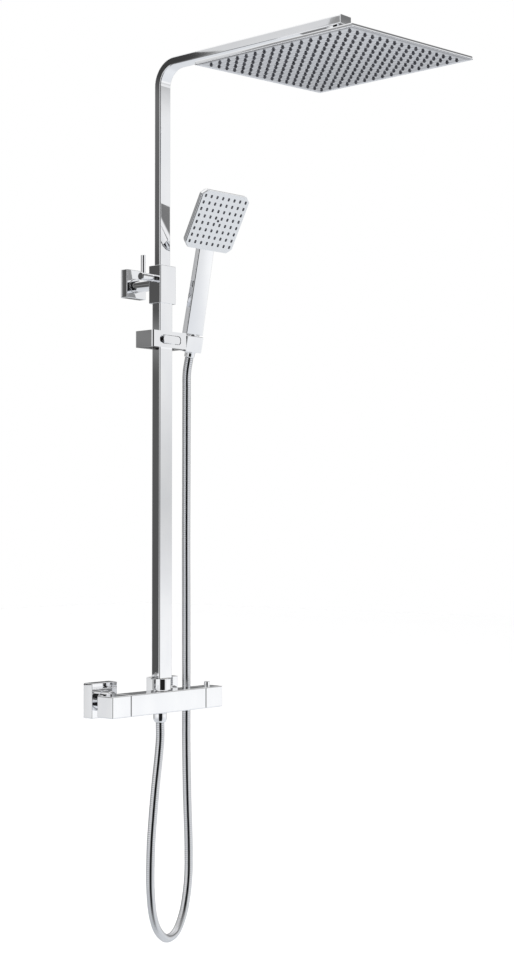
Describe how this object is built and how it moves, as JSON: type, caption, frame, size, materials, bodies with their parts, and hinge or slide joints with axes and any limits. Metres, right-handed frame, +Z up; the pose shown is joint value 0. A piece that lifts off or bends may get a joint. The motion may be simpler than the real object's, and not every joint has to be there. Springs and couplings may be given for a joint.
{
  "type": "rainfall shower column",
  "caption": "Thermostatic bar valve on the wall with a telescopic riser and arm, a tilting square rain head, and a hand shower on a sliding holder with a hose.",
  "frame": {"origin": "on the wall plane, midway between the two water inlets, level with the long axis of the valve bar", "axes": "+Z up the riser, -Y into the room, +X to the right as one faces the wall"},
  "size_m": [0.3119, 0.6357, 1.514],
  "materials": {
    "polished_chrome": "polished",
    "satin_steel": "satin",
    "brass": "machined",
    "black_rubber": "matte",
    "dark_plastic": "matte",
    "white_plastic": "matte",
    "spring_steel": "drawn"
  },
  "bodies": {
    "root": {"wall_flange_left": "polished_chrome", "wall_flange_right": "polished_chrome", "eccentric_union_left": "brass", "eccentric_union_right": "brass", "union_nut_left": "polished_chrome", "union_nut_right": "polished_chrome", "filter_washer_left": "black_rubber", "filter_washer_right": "black_rubber", "check_valve_left": "dark_plastic", "check_valve_right": "dark_plastic", "valve_body": "polished_chrome", "diverter_cartridge": "white_plastic", "thermostatic_cartridge": "brass", "wax_element": "brass", "thermostat_spring": "spring_steel", "riser_foot_nut": "polished_chrome", "riser_foot_plug": "brass", "riser_grub_screw": "spring_steel", "hose_outlet_nipple": "brass", "hose_outlet_nut": "polished_chrome", "lower_riser_tube": "polished_chrome", "riser_guide_bush": "white_plastic", "riser_collar": "polished_chrome", "lock_pad": "white_plastic", "bracket_flange": "polished_chrome", "bracket_stub": "polished_chrome", "bracket_anchor_plate": "spring_steel", "anchor_screw_upper": "spring_steel", "anchor_screw_lower": "spring_steel", "shower_hose": "polished_chrome"},
    "flow_handle": {"flow_handle": "polished_chrome", "diverter_spindle": "brass"},
    "temperature_handle": {"temperature_handle": "polished_chrome", "temperature_spindle": "brass"},
    "stop_button": {"temperature_stop_button": "polished_chrome"},
    "lock_lever": {"lock_spindle": "polished_chrome", "lock_knob": "polished_chrome", "lock_lever_pin": "polished_chrome"},
    "upper_riser": {"upper_riser_arm": "polished_chrome", "arm_end_cap": "polished_chrome", "telescopic_seal": "black_rubber", "swivel_seat": "polished_chrome", "swivel_nut": "polished_chrome"},
    "head_liner": {"swivel_liner": "white_plastic"},
    "rain_head": {"head_ball_stem": "brass", "head_top_cover": "polished_chrome", "head_nozzle_mat": "black_rubber", "head_face_plate": "satin_steel"},
    "slider": {"slider_body": "polished_chrome", "slider_bush": "white_plastic", "thumb_lever_pin": "spring_steel", "thumb_leaf_spring": "spring_steel", "holder_pivot_pin": "spring_steel"},
    "thumb_lever": {"slider_thumb_lever": "polished_chrome"},
    "holder": {"handset_holder": "polished_chrome"},
    "hose_nut": {"hose_cone_nut": "polished_chrome", "hose_cone_washer": "black_rubber"},
    "handset": {"handset_shell": "polished_chrome", "handset_nozzle_mat": "black_rubber", "handset_spray_plate": "satin_steel"}
  },
  "joints": [
    {"name": "flow_turn", "type": "hinge", "parent": "root", "child": "flow_handle", "pos_m": [-0.1125, -0.0825, 0], "axis": [1, 0, 0], "range_deg": [-90, 90]},
    {"name": "temperature_turn", "type": "hinge", "parent": "root", "child": "temperature_handle", "pos_m": [0.1125, -0.0825, 0], "axis": [1, 0, 0], "range_deg": [-100, 60]},
    {"name": "stop_press", "type": "slide", "parent": "temperature_handle", "child": "stop_button", "axis": [0, 0, -1], "range_m": [0, 0.0017], "stiffness_N_per_m": 800, "springref_m": -0.002},
    {"name": "lock_turn", "type": "hinge", "parent": "root", "child": "lock_lever", "pos_m": [-0.035, -0.0825, 0.722], "axis": [1, 0, 0], "range_deg": [-90, 90]},
    {"name": "riser_telescope", "type": "slide", "parent": "root", "child": "upper_riser", "axis": [0, 0, 1], "range_m": [-0.08, 0.2]},
    {"name": "head_tilt", "type": "hinge", "parent": "upper_riser", "child": "head_liner", "pos_m": [0, -0.4597, 1.052], "axis": [1, 0, 0], "range_deg": [-10, 10]},
    {"name": "head_tip", "type": "hinge", "parent": "head_liner", "child": "rain_head", "pos_m": [0, -0.4597, 1.052], "axis": [0, 1, 0], "range_deg": [-7, 12]},
    {"name": "slider_travel", "type": "slide", "parent": "root", "child": "slider", "axis": [0, 0, 1], "range_m": [-0.35, 0.045], "deforming": ["shower_hose"]},
    {"name": "thumb_press", "type": "hinge", "parent": "slider", "child": "thumb_lever", "pos_m": [0.0215, -0.0988, 0.617], "axis": [0, 0, -1], "range_deg": [0, 4.5], "stiffness_Nm_per_rad": 2, "springref_deg": -2.01},
    {"name": "holder_tilt", "type": "hinge", "parent": "slider", "child": "holder", "pos_m": [0.06, -0.0845, 0.617], "axis": [1, 0, 0], "range_deg": [-5, 30], "deforming": ["shower_hose"]},
    {"name": "handset_lift", "type": "slide", "parent": "holder", "child": "hose_nut", "axis": [0, -0.1994, 0.9799], "range_m": [0, 0.028], "deforming": ["shower_hose"]},
    {"name": "handset_spin", "type": "hinge", "parent": "hose_nut", "child": "handset", "pos_m": [0.07, -0.0845, 0.617], "axis": [0, -0.1994, 0.9799], "range_deg": [-30, 60]}
  ]
}
